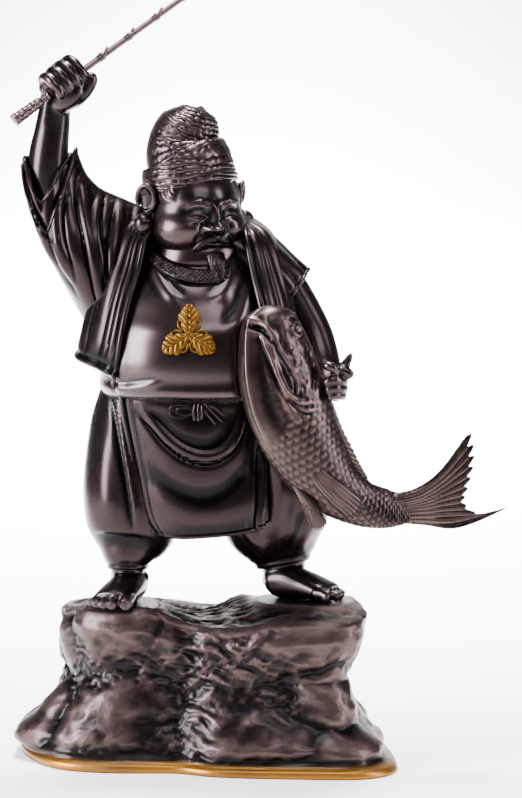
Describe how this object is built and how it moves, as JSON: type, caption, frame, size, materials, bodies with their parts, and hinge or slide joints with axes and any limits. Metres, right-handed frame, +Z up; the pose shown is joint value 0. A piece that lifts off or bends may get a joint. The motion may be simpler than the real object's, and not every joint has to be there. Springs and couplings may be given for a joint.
{
  "type": "ebisu figure",
  "caption": "Cast bronze figure of Ebisu standing on a rock, one arm raised with a bamboo fishing rod and a sea bream held under the other.",
  "frame": {"origin": "middle of the rock's flat underside, where the part rests", "axes": "+Z up along the statue, -Y towards the viewer that the figure's chest faces, +X to that viewer's right, where the fish's tail is"},
  "size_m": [0.2233, 0.1342, 0.395],
  "materials": {
    "dark_patina": "dark brown patina, waxed and glossy",
    "fish_patina": "dark brown patina, satin",
    "rod_patina": "dark brown patina, waxed and glossy",
    "rock_patina": "dark brown patina, rubbed through to polished metal on the lip of the foot",
    "gilding": "satin gilding"
  },
  "bodies": {
    "root": {"figure": "dark_patina", "sea_bream": "fish_patina", "fishing_rod": "rod_patina", "chest_crest": "gilding", "rock_base": "rock_patina"}
  },
  "joints": []
}
